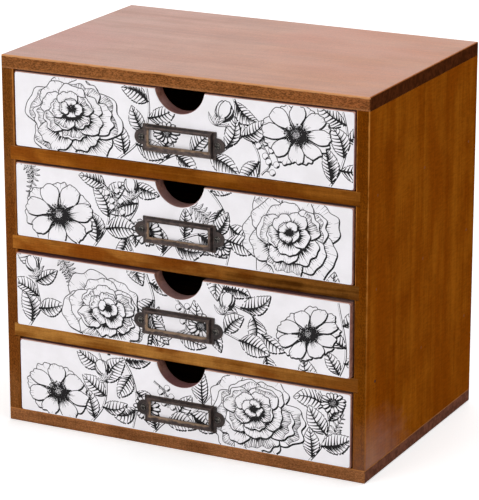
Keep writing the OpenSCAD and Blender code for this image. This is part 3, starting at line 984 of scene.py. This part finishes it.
SPRIGS = (
    # stem, leaves, a leaf's length
    (((70, 172), (86, 186), (94, 204), (92, 226)), 6, 21),
    (((96, 172), (114, 182), (138, 184), (160, 200)), 6, 20),
    (((212, 170), (222, 186), (226, 205), (222, 224)), 6, 20),
    (((150, 226), (156, 208), (168, 188), (168, 172)), 5, 20),
    (((52, 112), (64, 130), (66, 148), (58, 168)), 6, 21),
    (((78, 166), (86, 148), (78, 130), (84, 112)), 5, 20),
    (((98, 112), (112, 126), (130, 134), (150, 132)), 6, 20),
    (((130, 168), (144, 152), (150, 134), (146, 112)), 5, 20),
    (((6, 54), (16, 72), (14, 90), (20, 110)), 6, 20),
    (((92, 106), (98, 88), (96, 70), (104, 54)), 5, 20),
    (((100, 56), (116, 70), (138, 76), (160, 70)), 6, 20),
    (((140, 108), (152, 94), (168, 86), (176, 60)), 6, 21),
    (((222, 54), (228, 74), (222, 108)), 5, 19),
    (((48, -4), (60, 12), (62, 30), (56, 50)), 6, 20),
    (((70, 50), (80, 36), (84, 18), (80, -4)), 5, 20),
    (((92, -4), (106, 10), (124, 18), (140, 36)), 6, 20),
    (((200, -4), (212, 12), (216, 30), (208, 50)), 6, 20),
)
FERNS = (
    ((4, 170), (12, 158), (8, 142)),
    ((120, 152), (134, 144), (144, 130)),
    ((30, 108), (38, 98), (40, 84)),
    ((226, 8), (220, 20), (226, 34)),
)


def drawing():
    """Every motif of the print, front to back, across all four fronts."""
    made = []
    for k, (at, size, petals, squash, turn) in enumerate(OPEN_FLOWERS):
        made += moved(open_flower(size, petals, 5 + k, squash), at, turn)
    for k, (at, size, rings, squash, lean, turn) in enumerate(BLOOMS):
        made += moved(bloom(size, rings, 3 + 6 * k, squash, lean, turn), at)
    for k, (at, size) in enumerate(DAISIES):
        made += moved(daisy(size, 2 + k), at)
    for k, (at, size, turn) in enumerate(BUDS):
        made += moved(bud(size, 3 + k), at, turn)
    for k, path in enumerate(BERRIES):
        made += berries(path, 40 + k)
    for k, (path, count, size) in enumerate(SPRIGS):
        made += sprig(path, count, size, 60 + k)
    for k, path in enumerate(FERNS):
        made += fern(path, 80 + k)
    return made


# ---- Hidden parts of strokes, and ink as mesh ----

def inside(points, loop):
    """Which points lie inside a closed outline."""
    x, y = points[:, :1], points[:, 1:]
    x0, y0 = loop.T
    x1, y1 = np.roll(x0, -1), np.roll(y0, -1)
    rise = np.where(y1 == y0, 1e-12, y1 - y0)
    crossed = ((y0 > y) != (y1 > y)) & (x < (x1 - x0) * (y - y0) / rise + x0)
    return crossed.sum(axis=1) % 2 == 1


def printed(stroke):
    """The stroke as it prints, with points at even steps."""
    run = np.concatenate(([0], np.cumsum(np.linalg.norm(np.diff(stroke[:, :2], axis=0), axis=1))))
    at = np.linspace(0, run[-1], max(3, int(run[-1] / STEP) + 1))
    u, v, width = (np.interp(at, run, column) for column in stroke.T)
    return np.column_stack((u, v, width * (width / EVEN_WIDTH)**PRESS))


def on_print(points, row):
    """Which points lie on one row's print, clear of its edge, round corners and finger notch."""
    u = np.abs(points[:, 0] - PRINT_W / 2)
    v = points[:, 1] - foot_of(row)
    beyond = np.column_stack((u - PRINT_W / 2, np.abs(v - PRINT_H / 2) - PRINT_H / 2)) + CORNER_R
    within = np.linalg.norm(np.maximum(beyond, 0), axis=1) < CORNER_R - MARGIN
    return within & (np.hypot(u, v - NOTCH_UP) > NOTCH_R + MARGIN)


def visible_runs(motifs):
    """Each row's stretches of stroke that no motif in front hides, as arrays of u, v and width."""
    runs = {row: [] for row in ROWS}
    lows = np.array([m.outline.min(axis=0) for m in motifs])
    highs = np.array([m.outline.max(axis=0) for m in motifs])
    for i, motif in enumerate(motifs):
        strokes = [printed(s) for s in motif.strokes + ([motif.contour()] if motif.thin else [])]
        points = np.vstack(strokes)
        spots = points[:, :2]
        keep = points[:, 2] > FINEST
        over = np.all((lows[:i] < spots.max(axis=0)) & (highs[:i] > spots.min(axis=0)), axis=1)
        for j in np.flatnonzero(over):
            near = np.flatnonzero(keep & np.all((spots > lows[j]) & (spots < highs[j]), axis=1))
            keep[near[inside(spots[near], motifs[j].outline)]] = False
        ends = np.cumsum([len(s) for s in strokes])
        for row in ROWS:
            shown = np.split(keep & on_print(spots, row), ends[:-1])
            for stroke, flags in zip(strokes, shown):
                turns = np.flatnonzero(np.diff(np.concatenate(([0], flags, [0])).astype(int)))
                runs[row] += [stroke[a:b] for a, b in zip(turns[::2], turns[1::2]) if b - a > 1]
    return runs


INK_SUNK = 0.006     # foot of the ink inside the paper, mm
INK_PROUD = 0.03     # ridge of the ink above the paper, mm


def ridge(run):
    """Cross-sections of one stroke: its two feet and the ridge between them, as u, v and height."""
    spots = run[:, :2]
    across = sideways(spots) * (run[:, 2:] / 2 * (1 + INK_SUNK / INK_PROUD))
    lines = [np.column_stack((spots + side * across, np.full(len(run), height)))
             for side, height in ((1, -INK_SUNK), (0, INK_PROUD), (-1, -INK_SUNK))]
    return np.stack(lines, axis=1)


def ink_mesh(name, runs):
    """Every stroke as a closed ridge, in u, v and height."""
    corners, quads, caps = [], [], []
    first = 0
    for run in runs:
        corners.append(ridge(run).reshape(-1, 3))
        last = first + 3 * (len(run) - 1)
        at = np.arange(first, last, 3)
        for a, b in ((0, 1), (1, 2), (2, 0)):
            quads.append(np.column_stack((at + a, at + b, at + b + 3, at + a + 3)))
        caps += [(first + 2, first + 1, first), (last, last + 1, last + 2)]
        first = last + 3
    data = bpy.data.meshes.new(name)
    data.from_pydata(np.vstack(corners).tolist(), [], np.vstack(quads).tolist() + caps)
    return data


def make_ink():
    material = ink()
    runs = visible_runs(drawing())
    for row in ROWS:
        name = f"printed_ink_{row}"
        data = ink_mesh(name, runs[row])
        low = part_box(f"front_print_{row}")[0]
        for vertex in data.vertices:
            u, v, height = vertex.co
            vertex.co = (low.x + u * MM, low.y - height * MM, low.z + (v - foot_of(row)) * MM)
        data.materials.append(material)
        piece = placed(name, data)
        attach(piece, f"drawer_{row}")


def dress_prints():
    sheet = paper()
    for n in ROWS:
        give(f"front_print_{n}", sheet)
    make_ink()


# ---- Light, floor and background ----

WORLD_LIGHT = 0.40
FLOOR_HALF = 6.0
GLOW_NEAR, GLOW_FAR = (0.5, 0.47), (2.0, 0.8)    # distance from the object, and the floor's glow there
LIGHT_TARGET = Vector((0, 0, 0.12))
LIGHTS = (
    # name, place, size, power
    ("key", (-0.9, -2.0, 0.5), (1.2, 1.1), 26.2),
    ("fill", (1.6, -0.9, 0.9), (0.9, 0.9), 4.2),
    ("top", (0.1, 0.5, 1.7), (1.4, 1.0), 13),
)


def make_lights():
    for name, place, size, power in LIGHTS:
        data = bpy.data.lights.new(name, "AREA")
        data.shape = "RECTANGLE"
        data.size, data.size_y = size
        data.energy = power
        aimed(name, data, place, LIGHT_TARGET - Vector(place))


def make_world():
    """Even studio light, seen as white by the camera and in reflections."""
    world = bpy.data.worlds.new("studio")
    bpy.context.scene.world = world
    world.use_nodes = True
    nodes = Nodes(world.node_tree)
    strength = nodes.add("MapRange", {"Value": nodes.seen_directly(), "To Min": WORLD_LIGHT}).outputs[0]
    background = world.node_tree.nodes["Background"]
    nodes.feed(background.inputs["Strength"], strength)
    nodes.feed(background.inputs["Color"], WHITE)


def make_floor():
    """White floor that glows enough to vanish, but keeps the object's shadow."""
    corners = [(x * FLOOR_HALF, y * FLOOR_HALF, 0) for x, y in ((-1, -1), (1, -1), (1, 1), (-1, 1))]
    data = bpy.data.meshes.new("floor")
    data.from_pydata(corners, [], [(0, 1, 2, 3)])
    floor = placed("floor", data)
    look = Material("floor_white")
    away = look.add("VectorMath", {0: look.here}, operation="LENGTH").outputs["Value"]
    glow = look.ramp(away, GLOW_NEAR[0], GLOW_FAR[0], GLOW_NEAR[1], GLOW_FAR[1])
    look.set(Base_Color=(0.9, 0.9, 0.9, 1), Roughness=0.8, Specular_IOR_Level=0.0, Emission_Color=WHITE,
              Emission_Strength=look.times(look.seen_directly(), glow))
    data.materials.append(look.material)


make_camera()
dress_case()
dress_drawers()
dress_metal()
dress_prints()
make_world()
make_floor()
make_lights()
bpy.context.scene.view_settings.view_transform = "Standard"
